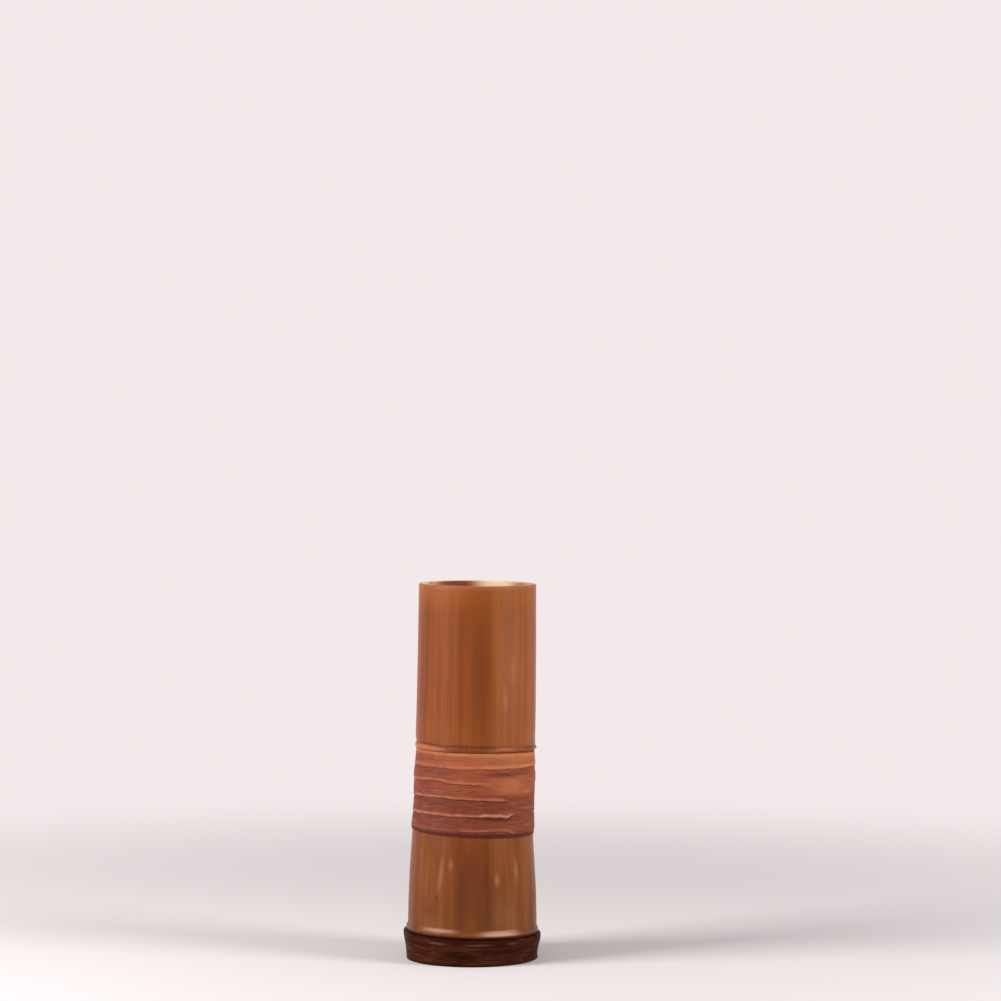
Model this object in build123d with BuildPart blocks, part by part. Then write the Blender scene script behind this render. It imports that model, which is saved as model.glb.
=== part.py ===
from build123d import *
import math
import os

# Bamboo vase: a culm that leans a little on its turned foot, with a bark strip wound below its node.
# Millimetres, +Z up, origin at the middle of the foot's underside, front of the vase towards -Y.
# Levels are measured up the vase's own leaning axis, from the table.

# Shared clearances
overrun = 12.0
glue_gap = 0.15

# Culm, outside
lean = 0.9
vase_height = 200.0
seat_diameter = 69.8
flare_diameter = 67.6
waist_diameter = 64.6
node_diameter = 63.9
rim_diameter = 62.4
rim_edge = 0.6

# Lip where the culm meets the foot
lip_height = 3.4
lip_proud = 0.45
lip_tuck = 0.4

# Culm, inside: walls, the closed floor and the bored septum at the node
rim_wall = 4.9
node_wall = 5.4
floor_wall = 7.6
floor_thickness = 5.0
floor_round = 8.0
septum_thickness = 4.0
septum_bore = 42.0
septum_round = 3.5

# Node: its ridge, the crease above it and the plain strip of culm between it and the wrap
node_gap = 2.8
ridge_width = 2.2
ridge_proud = 0.4
crease_width = 0.9
crease_depth = 0.3

# Bark wrap: level turns, each of which climbs to the next one at the front right
wrap_bottom = 68.5
wrap_height = 43.5
turn_pitch = 8.7
turn_gap = 0.5
first_ledge = 2.3
strip_thin_edge = 1.1
strip_thick_edge = 1.55
strip_round = 0.3
recess_depth_low = 0.85
recess_depth_high = 1.6
climb_azimuth = -50.0
climb_arc = 50.0
climb_steps = 6

# Foot: a turned disc with a rounded flange, and a spigot that is glued into the culm
foot_height = 14.5
foot_diameter = 73.7
foot_base_diameter = 70.4
foot_ring_height = 2.5
flange_height = 5.8
flange_round = 0.55
foot_edge = 0.5
spigot_diameter = 46.0
spigot_height = 5.5


def radial_plane(azimuth):
    # X runs outwards at the azimuth, Y up the vase's axis
    return Plane(vase_plane.location * Rotation(0, 0, azimuth) * Rotation(90, 0, 0))


# The axis crosses the vertical through the origin in the middle of the foot's flange, its widest place
slant = math.radians(lean)
axis_direction = Vector(math.sin(slant), 0, math.cos(slant))
flange_level = foot_height - flange_height / 2
vase_origin = Vector(0, 0, flange_level) - axis_direction * flange_level
vase_plane = Plane(vase_origin, x_dir=(math.cos(slant), 0, -math.sin(slant)), z_dir=axis_direction)
vase_axis = Axis(vase_origin, axis_direction)
front_plane = radial_plane(0)

# Levels up the axis
lip_level = foot_height + lip_height
flare_level = (lip_level + wrap_bottom) / 2
wrap_top = wrap_bottom + wrap_height
node_level = wrap_top + node_gap
socket_top = foot_height + spigot_height + glue_gap
floor_level = socket_top + floor_thickness
septum_bottom = node_level - septum_thickness / 2
septum_top = node_level + septum_thickness / 2

# Radii
seat_radius = seat_diameter / 2
waist_radius = waist_diameter / 2
node_radius = node_diameter / 2
rim_radius = rim_diameter / 2
lower_bore = seat_radius - floor_wall
node_bore = node_radius - node_wall
rim_bore = rim_radius - rim_wall

# Lower hollow, from the closed floor to the underside of the septum
with BuildPart() as lower_hollow:
    with BuildSketch(front_plane):
        Polygon(
            (0, floor_level),
            (lower_bore, floor_level),
            (node_bore, septum_bottom),
            (0, septum_bottom),
            align=None,
        )
    revolve(axis=vase_axis)
    fillet(lower_hollow.edges().group_by(Axis.Z)[0], floor_round)
    fillet(lower_hollow.edges().group_by(Axis.Z)[-1], septum_round)

# Upper hollow, from the top of the septum to the rim
with BuildPart() as upper_hollow:
    with BuildSketch(front_plane):
        Polygon(
            (0, septum_top),
            (node_bore, septum_top),
            (rim_bore, vase_height),
            (0, vase_height),
            align=None,
        )
    revolve(axis=vase_axis)
    fillet(upper_hollow.edges().group_by(Axis.Z)[0], septum_round)

# Culm
recess_low = waist_radius - recess_depth_low
recess_high = node_radius - recess_depth_high
with BuildPart() as culm:
    # Outside, from the lip's tucked edge up to the rim
    with BuildSketch(front_plane):
        with BuildLine():
            Line((0, foot_height), (seat_radius - lip_tuck, foot_height))
            ThreePointArc(
                (seat_radius - lip_tuck, foot_height),
                (seat_radius + lip_proud, foot_height + lip_height / 3),
                (seat_radius - lip_tuck, lip_level),
            )
            ThreePointArc(
                (seat_radius - lip_tuck, lip_level),
                (flare_diameter / 2, flare_level),
                (waist_radius, wrap_bottom),
            )
            Polyline(
                (waist_radius, wrap_bottom),
                (node_radius, node_level),
                (rim_radius, vase_height),
                (0, vase_height),
                (0, foot_height),
            )
        make_face()
    revolve(axis=vase_axis)

    # Node ridge, and the crease above it
    with BuildSketch(front_plane):
        with BuildLine():
            ThreePointArc(
                (node_radius - ridge_proud, node_level - ridge_width / 2),
                (node_radius + ridge_proud, node_level),
                (node_radius - ridge_proud, node_level + ridge_width / 2),
            )
            Line(
                (node_radius - ridge_proud, node_level + ridge_width / 2),
                (node_radius - ridge_proud, node_level - ridge_width / 2),
            )
        make_face()
    revolve(axis=vase_axis)
    crease_level = node_level + (ridge_width + crease_width) / 2
    with BuildSketch(front_plane):
        Polygon(
            (node_radius - crease_depth, crease_level),
            (node_radius + crease_depth, crease_level + crease_width),
            (node_radius + crease_depth, crease_level - crease_width),
            align=None,
        )
    revolve(axis=vase_axis, mode=Mode.SUBTRACT)

    # Recess for the wrap
    with BuildSketch(front_plane):
        Polygon(
            (recess_low, wrap_bottom - glue_gap),
            (seat_radius + overrun, wrap_bottom - glue_gap),
            (seat_radius + overrun, wrap_top + glue_gap),
            (recess_high, wrap_top + glue_gap),
            align=None,
        )
    revolve(axis=vase_axis, mode=Mode.SUBTRACT)

    # Hollows, the bored septum and the socket for the foot's spigot
    add(lower_hollow.part, mode=Mode.SUBTRACT)
    add(upper_hollow.part, mode=Mode.SUBTRACT)
    with BuildSketch(vase_plane.offset(node_level - septum_thickness)):
        Circle(septum_bore / 2)
    extrude(amount=septum_thickness * 2, mode=Mode.SUBTRACT)
    with BuildSketch(vase_plane.offset(foot_height)):
        Circle(spigot_diameter / 2 + glue_gap)
    extrude(amount=spigot_height + glue_gap, mode=Mode.SUBTRACT)
    chamfer(culm.edges().group_by(Axis.Z)[-1], rim_edge)

# Foot, turned on the same axis and cut level where it stands on the table
flange_radius = foot_diameter / 2
flange_root = flange_radius - flange_round
base_radius = foot_base_diameter / 2
spigot_radius = spigot_diameter / 2
spigot_top = foot_height + spigot_height
with BuildPart() as foot:
    with BuildSketch(front_plane):
        with BuildLine():
            Polyline(
                (flange_root, foot_height),
                (spigot_radius, foot_height),
                (spigot_radius, spigot_top),
                (0, spigot_top),
                (0, -overrun),
                (base_radius, -overrun),
                (base_radius, foot_ring_height),
            )
            TangentArc(
                (base_radius, foot_ring_height),
                (flange_root, foot_height - flange_height),
                tangent=(0, 1),
            )
            ThreePointArc(
                (flange_root, foot_height - flange_height),
                (flange_radius, flange_level),
                (flange_root, foot_height),
            )
        make_face()
    revolve(axis=vase_axis)
    split(bisect_by=Plane.XY, keep=Keep.TOP)
    chamfer(foot.edges().group_by(Axis.Z)[0], foot_edge)

# Bark wrap: one strip on the recess, trimmed level with it at both ends
strip_width = turn_pitch - turn_gap
turn_total = math.ceil((wrap_height - first_ledge) / turn_pitch) + 1
recess_slope = (recess_high - recess_low) / (wrap_height + 2 * glue_gap)


def recess_radius(level):
    return recess_low + recess_slope * (level - wrap_bottom + glue_gap) + glue_gap


def ledge_level(turn, share):
    # Lower edge of a turn, at a share of the way through its climb down to the turn below
    ease = share * share * (3 - 2 * share)
    return wrap_bottom + first_ledge + turn_pitch * (turn - 1 - ease)


def strip_corners(level):
    top = level + strip_width
    low = recess_radius(level)
    high = recess_radius(top)
    return (
        (low, level),
        (low + strip_thick_edge - strip_round, level),
        (low + strip_thick_edge, level + strip_round),
        (high + strip_thin_edge, top - strip_round),
        (high + strip_thin_edge - strip_round, top),
        (high, top),
    )


climb_start = climb_azimuth - climb_arc / 2
climb_end = climb_azimuth + climb_arc / 2
with BuildPart() as bark_wrap:
    for turn in range(1, turn_total + 1):
        for step in range(climb_steps + 1):
            share = step / climb_steps
            with BuildSketch(radial_plane(climb_start + climb_arc * share)):
                Polygon(*strip_corners(ledge_level(turn, share)), align=None)
        loft()
        with BuildSketch(radial_plane(climb_end)):
            Polygon(*strip_corners(ledge_level(turn, 1)), align=None)
        revolve(axis=vase_axis, revolution_arc=360 - climb_arc)
    with BuildSketch(vase_plane.offset(wrap_bottom)):
        Circle(seat_radius + overrun)
    extrude(amount=wrap_height, mode=Mode.INTERSECT)


def strip_point(travel, offset):
    # A point of the strip's inner face, by the degrees travelled round and down the culm
    turn = turn_total - math.floor(travel / 360)
    along = travel % 360
    level = ledge_level(turn, min(along / climb_arc, 1)) + offset
    angle = math.radians(climb_start + along)
    radius = recess_radius(level)
    return Vector(radius * math.cos(angle), radius * math.sin(angle), level)


# The least gap between turns, on points every degree, each against the next turn's edge close by
near_arcs = [step / 10 for step in range(-15, 16)]
least_gap = min(
    (strip_point(travel, 0) - strip_point(travel + 360 + near, strip_width)).length
    for travel in range(0, 360 * (turn_total - 1))
    for near in near_arcs
)
print("turns of the strip", turn_total, "least gap between turns, mm", round(least_gap, 3))

culm.part.label = "culm"
foot.part.label = "foot"
bark_wrap.part.label = "bark_wrap"
os.makedirs("parts", exist_ok=True)
export_step(culm.part, "parts/culm.step")
export_step(foot.part, "parts/foot.step")
export_step(bark_wrap.part, "parts/bark_wrap.step")
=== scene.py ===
import math

import bmesh
import bpy
from mathutils import Matrix, Vector, noise


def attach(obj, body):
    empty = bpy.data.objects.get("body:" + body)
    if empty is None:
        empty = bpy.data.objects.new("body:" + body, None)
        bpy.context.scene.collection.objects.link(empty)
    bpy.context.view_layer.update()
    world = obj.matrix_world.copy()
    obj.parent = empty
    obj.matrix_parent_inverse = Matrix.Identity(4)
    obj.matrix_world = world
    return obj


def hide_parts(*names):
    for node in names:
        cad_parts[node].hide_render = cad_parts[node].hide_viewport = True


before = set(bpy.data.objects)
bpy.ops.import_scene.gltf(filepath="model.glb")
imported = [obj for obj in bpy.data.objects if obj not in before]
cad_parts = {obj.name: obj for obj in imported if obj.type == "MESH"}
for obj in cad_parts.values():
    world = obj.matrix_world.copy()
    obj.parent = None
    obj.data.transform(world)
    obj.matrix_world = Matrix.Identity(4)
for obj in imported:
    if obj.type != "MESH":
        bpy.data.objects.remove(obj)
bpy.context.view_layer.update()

# Bamboo vase: a lacquered culm, a bark strip wound below its node and a dark turned foot.
# Levels, radii and widths are in millimetres, measured along the vase's own leaning axis.
# An azimuth is in degrees round that axis: -90 is the front, 0 the right and 180 the left.

mm = 0.001
hair = 1e-8  # metres: places nearer than this share a level or a radius

vase = {
    "lean": math.radians(0.9),
    "pivotLevel": 11.6,
    # drawn a hair smaller than the solids, so that its uneven mouth stays within their height
    "drawn": 0.9959,
    # the turned lip and the foot's flange lean a little more than the culm, level to slope
    "tilt": ((3, 0), (11, 0.010), (20, 0.010), (40, 0)),
    # sideways bend of the grown culm, level to offset
    "bend": ((0, 0), (20, 0), (35, -0.1), (50, -0.35), (60, -0.5), (70, -0.48), (77, -0.3),
             (87, -0.1), (100, 0.05), (119, 0.15), (138, 0.26), (165, 0.26), (200, 0.05)),
    # the wrap's lower edge and the culm's edge beneath it: shift, and fall from left to right
    "wrapEdgeShift": -0.05,
    "wrapEdgeSlant": 0.85,
    # steps in each rounding and in the first turn, and the angle past which an edge stays crisp
    "cornerSteps": 5,
    "coarseTurn": 32,
    "crispAngle": 38,
    "mergeDistance": 0.01,
}


def smooth(low, high, value):
    share = min(max((value - low) / (high - low), 0), 1)
    return share * share * (3 - 2 * share)


def follow(table, value):
    # eased reading of a short table of pairs
    if value <= table[0][0]:
        return table[0][1]
    for (a, fromA), (b, toB) in zip(table, table[1:]):
        if value <= b:
            return fromA + (toB - fromA) * smooth(a, b, value)
    return table[-1][1]


def fading(fades, level):
    # 1 in the middle, eased to 0 below and above
    low, lowFull, highFull, high = fades
    return smooth(low, lowFull, level) * (1 - smooth(highFull, high, level))


def hump(offset, width):
    return math.exp(-(offset / width) ** 2)


def apart(azimuth, centre):
    # how far round one azimuth is from another, -180 to 180
    return (azimuth - centre + 180) % 360 - 180


def swell(table, azimuth):
    # sum of humps round the culm, each row an azimuth, a width in degrees and a height
    return sum(height * hump(apart(azimuth, centre), width) for centre, width, height in table)


def wander(table, azimuth, level=0):
    # noise that closes on itself round the culm: amount, ripples across, ripples along, seed
    angle = math.radians(azimuth)
    total = 0
    for amount, across, along, seed in table:
        place = Vector((math.cos(angle) * across, math.sin(angle) * across, level * along + seed))
        total += amount * noise.noise(place)
    return total


def polar(radius, azimuth, level):
    # a place in metres
    angle = math.radians(azimuth)
    return Vector((radius * math.cos(angle) * mm, radius * math.sin(angle) * mm, level * mm))


def wrapEdge(azimuth):
    return vase["wrapEdgeShift"] - vase["wrapEdgeSlant"] * math.cos(math.radians(azimuth))


pivot = Vector((0, 0, vase["pivotLevel"] * mm))
leanTurn = Matrix.Rotation(vase["lean"], 4, "Y")
leanMatrix = Matrix.Translation(pivot) @ leanTurn @ Matrix.Translation(-pivot)


def tiltOver(bm):
    for vert in bm.verts:
        vert.co.z -= follow(vase["tilt"], vert.co.z / mm) * vert.co.x


def leanOver(bm):
    # straight upright mesh to its leaning place on the foot
    for vert in bm.verts:
        vert.co.x += follow(vase["bend"], vert.co.z / mm) * mm
    bmesh.ops.transform(bm, matrix=leanMatrix, verts=bm.verts)


def linked(name, data):
    made = bpy.data.objects.new(name, data)
    bpy.context.scene.collection.objects.link(made)
    return made


def meshed(name, bm, materials):
    mesh = bpy.data.meshes.new(name)
    bm.to_mesh(mesh)
    bm.free()
    for material in materials:
        mesh.materials.append(material)
    return linked(name, mesh)


def finishPiece(name, bm, materials, node):
    bmesh.ops.scale(bm, vec=[vase["drawn"]] * 3, verts=bm.verts)
    for edge in bm.edges:
        if edge.is_manifold and edge.calc_face_angle() > math.radians(vase["crispAngle"]):
            edge.smooth = False
    piece = meshed(name, bm, materials)
    piece.data.polygons.foreach_set("use_smooth", [True] * len(piece.data.polygons))
    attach(piece, "root")
    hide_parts(node)
    return piece


def latheProfile(corners, step):
    # wire in the XZ plane: each corner is (radius, level, rounding), then long runs are divided
    bm = bmesh.new()
    verts = [bm.verts.new((radius * mm, 0, level * mm)) for radius, level, rounding in corners]
    for first, second in zip(verts, verts[1:]):
        bm.edges.new((first, second))
    rounded = [(vert, corner[2]) for vert, corner in zip(verts, corners) if corner[2]]
    for vert, rounding in rounded:
        bmesh.ops.bevel(bm, geom=[vert], offset=rounding * mm, offset_type="OFFSET",
                        segments=vase["cornerSteps"], profile=0.5, affect="VERTICES", material=-1)
    for edge in list(bm.edges):
        cuts = int(edge.calc_length() / (step * mm))
        if cuts:
            bmesh.ops.subdivide_edges(bm, edges=[edge], cuts=cuts)
    return bm


def turnRound(bm, segments):
    # a coarse turn, whose edges are divided and pushed out to their ring's radius
    own = bm.verts.layers.float.new("radius")
    for vert in bm.verts:
        vert[own] = vert.co.x
    bmesh.ops.spin(bm, geom=bm.verts[:] + bm.edges[:], cent=(0, 0, 0), axis=(0, 0, 1), dvec=(0, 0, 0),
                   angle=math.tau, steps=vase["coarseTurn"], use_merge=True, use_normal_flip=False)
    bmesh.ops.remove_doubles(bm, verts=bm.verts, dist=vase["mergeDistance"] * mm)
    hoops = [edge for edge in bm.edges if abs(edge.verts[0].co.z - edge.verts[1].co.z) < hair
             and abs(edge.verts[0][own] - edge.verts[1][own]) < hair]
    bmesh.ops.subdivide_edges(bm, edges=hoops, cuts=segments // vase["coarseTurn"] - 1)
    for vert in bm.verts:
        reach = math.hypot(vert.co.x, vert.co.y)
        if reach > vase["mergeDistance"] * mm:
            vert.co.x *= vert[own] / reach
            vert.co.y *= vert[own] / reach
    bmesh.ops.recalc_face_normals(bm, faces=bm.faces)


# helpers for the finishes' nodes

def paint(red, green, blue):
    # display colour 0 to 255, to linear
    parts = [value / 255 for value in (red, green, blue)]
    parts = [value / 12.92 if value <= 0.04045 else ((value + 0.055) / 1.055) ** 2.4 for value in parts]
    return (*parts, 1)


def newFinish(name, grains, **sockets):
    # a material, and the patterns it draws on: its coordinates, its grains and the level in millimetres
    material = bpy.data.materials.new(name)
    material.use_nodes = True
    tree = material.node_tree
    shader = next(n for n in tree.nodes if n.type == "BSDF_PRINCIPLED")
    for socket, value in sockets.items():
        shader.inputs[socket.replace("_", " ")].default_value = value
    coords = axisCoords(tree)
    patterns = {kind: grain(tree, coords, *numbers) for kind, numbers in grains.items()}
    upright = add(tree, "ShaderNodeSeparateXYZ", {"Vector": coords}).outputs["Z"]
    patterns.update(coords=coords, level=times(tree, upright, 1 / mm))
    return material, tree, shader, patterns


def add(tree, kind, inputs=None, **settings):
    made = tree.nodes.new(kind)
    for setting, value in settings.items():
        setattr(made, setting, value)
    for socket, value in (inputs or {}).items():
        if isinstance(value, bpy.types.NodeSocket):
            tree.links.new(value, made.inputs[socket])
        else:
            made.inputs[socket].default_value = value
    return made


def axisCoords(tree):
    # Object coordinates turned upright and to full size, so that patterns run along the culm
    return add(tree, "ShaderNodeMapping", {
        "Vector": add(tree, "ShaderNodeTexCoord").outputs["Object"],
        "Location": pivot - leanTurn.inverted() @ pivot,
        "Rotation": (0, -vase["lean"], 0),
        "Scale": [1 / vase["drawn"]] * 3,
    }).outputs["Vector"]


def times(tree, first, second, operation="MULTIPLY"):
    return add(tree, "ShaderNodeMath", {0: first, 1: second}, operation=operation).outputs[0]


def mixed(tree, first, share, second):
    # one pattern's share of the whole, and the other's the rest
    return times(tree, times(tree, first, share), times(tree, second, 1 - share), "ADD")


def lengthOf(tree, vector):
    return add(tree, "ShaderNodeVectorMath", {0: vector}, operation="LENGTH").outputs["Value"]


def attribute(tree, name):
    return add(tree, "ShaderNodeAttribute", attribute_name=name).outputs["Fac"]


def grain(tree, coords, across, along, detail, rough, shift=0.0, twist=0.0):
    stretched = add(tree, "ShaderNodeMapping", {"Vector": coords, "Scale": (across, across, along),
                    "Location": (shift, shift, shift)}).outputs["Vector"]
    return add(tree, "ShaderNodeTexNoise", {"Vector": stretched, "Scale": 1.0, "Detail": detail,
               "Roughness": rough, "Distortion": twist}).outputs["Fac"]


def between(tree, value, fromLow, fromHigh, toLow=0.0, toHigh=1.0, easing="SMOOTHSTEP"):
    return add(tree, "ShaderNodeMapRange", {"Value": value, "From Min": fromLow, "From Max": fromHigh,
               "To Min": toLow, "To Max": toHigh}, interpolation_type=easing).outputs["Result"]


def band(tree, levels, rising, falling):
    # soft band, up over the first two levels and down over the last two
    low, lowFull, highFull, high = levels
    return times(tree, between(tree, rising, low, lowFull), between(tree, falling, highFull, high, 1, 0))


def ramp(tree, value, stops, tones):
    made = add(tree, "ShaderNodeValToRGB", {"Fac": value})
    points = made.color_ramp.elements
    while len(points) < len(stops):
        points.new(0.5)
    for point, (place, tone) in zip(points, stops):
        point.position = place
        point.color = tones[tone]
    return made.outputs["Color"]


def blend(tree, amount, under, over, mode="MIX"):
    return add(tree, "ShaderNodeMix", {0: amount, 6: under, 7: over}, data_type="RGBA",
               blend_type=mode).outputs[2]


def tint(tree, colour, patterns, table, tones):
    # each row: pattern, its range, the amount at both ends of it, tone
    for kind, low, high, least, most, tone in table:
        colour = blend(tree, between(tree, patterns[kind], low, high, least, most), colour, tones[tone])
    return colour


def mark(tree, coords, radius, azimuth, level, halfWidth, halfHeight, soft, turn=0.0, halfDepth=8):
    # mask of an oval mark on a wall of that radius
    local = add(tree, "ShaderNodeMapping", {
        "Vector": coords,
        "Location": polar(radius, azimuth, level),
        "Rotation": (math.radians(turn), 0, math.radians(azimuth)),
        "Scale": (halfDepth * mm, halfWidth * mm, halfHeight * mm),
    }, vector_type="TEXTURE").outputs["Vector"]
    return between(tree, lengthOf(tree, local), soft, 1.0, 1.0, 0.0)


def spots(tree, patterns, colour, settings):
    # each row: azimuth, level, half width, half height, turn in degrees, amount, tone
    for azimuth, level, halfWidth, halfHeight, turn, amount, tone in settings["spots"]:
        spot = mark(tree, patterns["coords"], settings["spotRadius"], azimuth, level, halfWidth, halfHeight,
                    settings["spotSoftness"], turn)
        colour = blend(tree, times(tree, spot, amount), colour, settings["tones"][tone])
    return colour


def colourIn(tree, shader, colour):
    tree.links.new(colour, shader.inputs["Base Color"])


def roughen(tree, shader, pattern, smoothest, roughest, low=0.3, high=0.7):
    rough = between(tree, pattern, low, high, smoothest, roughest, "LINEAR")
    tree.links.new(rough, shader.inputs["Roughness"])


def bump(tree, shader, height, strength, depth):
    made = add(tree, "ShaderNodeBump", {"Height": height, "Strength": strength, "Distance": depth * mm})
    tree.links.new(made.outputs["Normal"], shader.inputs["Normal"])


# lacquered skin of the culm

skin = {
    "tones": {"dark": paint(105, 48, 12), "middle": paint(130, 65, 21), "light": paint(156, 85, 33),
        "node": paint(150, 88, 44), "low": (0.66, 0.70, 0.62, 1), "wearAndHighlight": paint(204, 156, 132),
        "knotAndShade": paint(84, 34, 12), "orange": paint(164, 92, 50), "fleckAndSheen": paint(196, 132, 92),
        "scar": paint(84, 34, 14), "lipShade": paint(66, 22, 8)},
    # ripples across and along per metre, detail, roughness, shift
    "grains": {"wide": (95, 2.6, 2.0, 0.5), "narrow": (620, 9, 3.0, 0.6, 3.1),
               "fibre": (2600, 34, 2.0, 0.6, 7.7), "cloud": (46, 30, 4.0, 0.6, 1.9)},
    "wideShare": 0.77,
    "stops": ((0.34, "dark"), (0.5, "middle"), (0.68, "light")),
    "overGrain": (("fibre", 0.4, 0.66, 0, 0.2, "dark"), ("cloud", 0.5, 0.75, 0, 0.35, "light")),
    # deeper below the wrap, most of all at the bottom
    "lowerShade": (20, 66, 1, 0.55),
    "lowerTop": (68.5, 69),
    # soft bands at the node, and where they show: azimuth, level, half width, half height, softness
    "nodeRadius": 32,
    "nodeBand": (116.5, 119, 121, 136),
    "nodeBandAmount": 0.15,
    "ridgeBand": (113.0, 113.4, 114.7, 115.7),
    "ridgeOrange": 0.35,
    "orangeAtLeft": (-150, 114.6, 24, 5, 0.45),
    "darkAtFront": (-97, 114.6, 15, 5, 0.5),
    "darkAmount": 0.55,
    "creaseBand": (114.9, 115.8, 116.3, 117.2),
    # where the crease fades, and what is left of it there
    "creaseFades": (((-172, 116, 18, 6, 0.3), 0.3), ((-52, 116, 15, 6, 0.4), 0.25)),
    "creaseGrain": (0.3, 0.7, 0.95, 0.6),
    # painted shadow in the gap above the wrap's top edge, deepest at the right
    "gapShadeBand": (110.0, 111.0, 113.8, 114.6),
    "gapShadeAtRight": (-48, 114, 22, 5, 0.4),
    "gapShadeAmount": 0.5,
    "belowRim": (("level", 185, 198.5, 0, 0.45, "light"),),
    # knots, pale flecks and long streaks, among them painted shade and painted highlight as noted
    "spotRadius": 33,
    "spotSoftness": 0.1,
    "spots": (
        (-123.8, 35.4, 1.7, 3.6, 4, 0.85, "knotAndShade"),
        (-120.5, 47.5, 2.3, 15, -5, 0.24, "fleckAndSheen"),
        (-67.5, 46, 2, 5.8, 0, 0.34, "fleckAndSheen"),
        (-46.5, 50.5, 2.2, 8.5, 3, 0.26, "fleckAndSheen"),
        (-110.5, 53.5, 2, 5, 0, 0.22, "fleckAndSheen"),
        (-60.5, 141, 2.6, 11, 5, 0.22, "fleckAndSheen"),
        (-51.5, 156, 2.2, 11, 0, 0.2, "fleckAndSheen"),
        (40, 160, 1.9, 10, 0, 0.16, "fleckAndSheen"),
        (95, 44, 1.1, 3, -6, 0.8, "knotAndShade"),
        (128, 172, 0.9, 2.4, 3, 0.7, "knotAndShade"),
        (170, 52, 1.9, 9, 4, 0.16, "fleckAndSheen"),
        # painted shade along the undercut of the lip at the left
        (-140, 15.7, 19, 1.9, 0, 0.8, "knotAndShade"),
        # painted shade down the front of the upper length, between the two lit sides
        (-86, 158, 12, 82, 0, 0.84, "dark"),
        # painted highlight: broad pale sheen at the front right, high and low, and low at the front left
        (-56, 160, 15, 62, 0, 0.14, "fleckAndSheen"),
        (-60, 25, 13, 18, 0, 0.12, "fleckAndSheen"),
        (-128, 21, 11, 9, 0, 0.1, "fleckAndSheen"),
        # painted shade down the front of the lower length
        (-92, 42, 10.5, 40, 0, 0.6, "knotAndShade"),
    ),
    # stain rubbed thin on the rim, and on the lip, where the two front rows (-121 and -64) are painted
    # highlight: azimuth, levels, half length, amount
    "rimWear": (("level", 198.8, 199.8, 0, 0.06, "wearAndHighlight"),),
    "lipWearAndHighlight": ((-121, 18.1, 18.7, 17, 0.6), (-64, 16.35, 18.2, 17, 0.76), (10, 16.4, 17.9, 14, 0.4),
                (75, 16.4, 17.9, 24, 0.5), (142, 16.5, 18.0, 18, 0.5)),
    "lipWearAndHighlightFades": (0.5, 1.5),
    "lipWearAndHighlightPlace": {"radius": 35, "level": 17.2, "halfHeight": 6, "soft": 0.15},
    # painted shade on the lower half of the lip, in the undercut above the foot
    "shadeUnderLip": (("level", 15.2, 16.8, 0.95, 0, "lipShade"),),
    "rough": (0.36, 0.44),
    # the fibre's share of the relief, its strength and depth
    "reliefShare": 0.35,
    "relief": (0.35, 0.12),
}


def nodeColour(tree, patterns, colour):
    # ridge and crease of the sheath scar, on the wandering line that the mesh carries, and painted shadow
    # above the wrap's top edge at the right
    tones = skin["tones"]
    level = patterns["level"]
    waved = times(tree, level, attribute(tree, "nodeWave"), "SUBTRACT")

    def around(place):
        return mark(tree, patterns["coords"], skin["nodeRadius"], *place)

    greyer = times(tree, band(tree, skin["nodeBand"], level, level), skin["nodeBandAmount"])
    colour = blend(tree, greyer, colour, tones["node"])
    # at the left the ridge is as orange as the bark below it
    ridge = band(tree, skin["ridgeBand"], level, waved)
    left = times(tree, around(skin["orangeAtLeft"]), 1 - skin["ridgeOrange"])
    orange = times(tree, left, skin["ridgeOrange"], "ADD")
    colour = blend(tree, times(tree, ridge, orange), colour, tones["orange"])
    front = times(tree, around(skin["darkAtFront"]), skin["darkAmount"])
    colour = blend(tree, times(tree, ridge, front), colour, tones["scar"])
    crease = band(tree, skin["creaseBand"], waved, waved)
    for place, remaining in skin["creaseFades"]:
        crease = times(tree, crease, between(tree, around(place), 0, 1, 1, remaining))
    crease = times(tree, crease, between(tree, patterns["narrow"], *skin["creaseGrain"]))
    colour = blend(tree, crease, colour, tones["scar"])
    # painted shadow above the wrap's top edge at the right
    under = times(tree, band(tree, skin["gapShadeBand"], level, level), around(skin["gapShadeAtRight"]))
    return blend(tree, times(tree, under, skin["gapShadeAmount"]), colour, tones["scar"])


def lipWearAndHighlight(tree, patterns, colour):
    place = skin["lipWearAndHighlightPlace"]
    level = patterns["level"]
    fadeIn, fadeOut = skin["lipWearAndHighlightFades"]
    # wear on the lip, and painted highlight at the front
    for azimuth, low, high, halfLength, amount in skin["lipWearAndHighlight"]:
        wearAndHighlight = band(tree, (low - fadeIn, low, high, high + fadeOut), level, level)
        lipPatch = mark(tree, patterns["coords"], place["radius"], azimuth, place["level"], halfLength,
                      place["halfHeight"], place["soft"])
        share = times(tree, times(tree, wearAndHighlight, lipPatch), amount)
        colour = blend(tree, share, colour, skin["tones"]["wearAndHighlight"])
    return colour


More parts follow.
